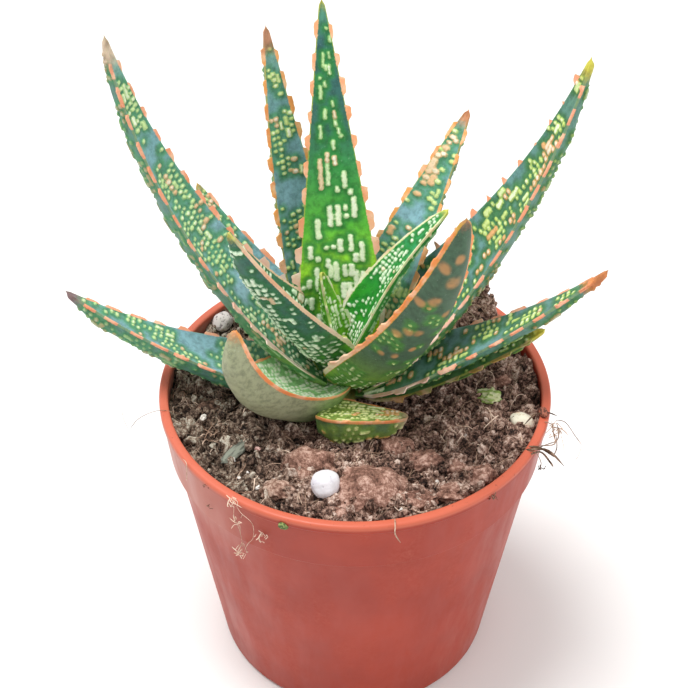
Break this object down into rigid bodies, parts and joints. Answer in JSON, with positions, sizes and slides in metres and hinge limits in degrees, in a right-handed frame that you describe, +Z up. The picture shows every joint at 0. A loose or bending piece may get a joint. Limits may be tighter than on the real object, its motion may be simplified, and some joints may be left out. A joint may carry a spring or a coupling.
{
  "type": "potted zebra aloe",
  "caption": "Small spotted, toothed aloe rosette standing in potting mix in a round tapered plastic nursery pot with a rolled rim.",
  "frame": {"origin": "middle of the pot's flat underside, on the surface that the pot stands on", "axes": "+Z up along the pot's axis; -Y towards the viewer of the picture, +X to the right"},
  "size_m": [0.1377, 0.105, 0.183],
  "materials": {
    "pot_plastic": "satin moulded polypropylene, terracotta red",
    "potting_mix": "matt, moist brown peat and fibre",
    "stem": "satin green plant flesh",
    "young_leaf": "waxy emerald to lime green with pale dashes and a whitish margin",
    "old_leaf": "waxy blue-green with pale and pinkish dashes and a salmon, toothed margin",
    "perlite": "matt chalky white, pitted",
    "bark": "matt, pale fibrous bark"
  },
  "bodies": {
    "root": {"pot": "pot_plastic", "potting_mix": "potting_mix", "stem": "stem", "leaf_heart": "young_leaf", "leaf_inner_right": "young_leaf", "leaf_inner_left": "young_leaf", "leaf_tall": "young_leaf", "leaf_front": "old_leaf", "leaf_left_short": "old_leaf", "leaf_back_right": "old_leaf", "leaf_back_narrow": "old_leaf", "leaf_right_long": "old_leaf", "leaf_left_long": "old_leaf", "leaf_low_right": "old_leaf", "leaf_curled_front": "old_leaf", "leaf_low_left": "old_leaf", "leaf_stub_front": "old_leaf", "leaf_lowest_right": "old_leaf", "perlite_front": "perlite", "perlite_back": "perlite", "bark_chip": "bark"}
  },
  "joints": []
}
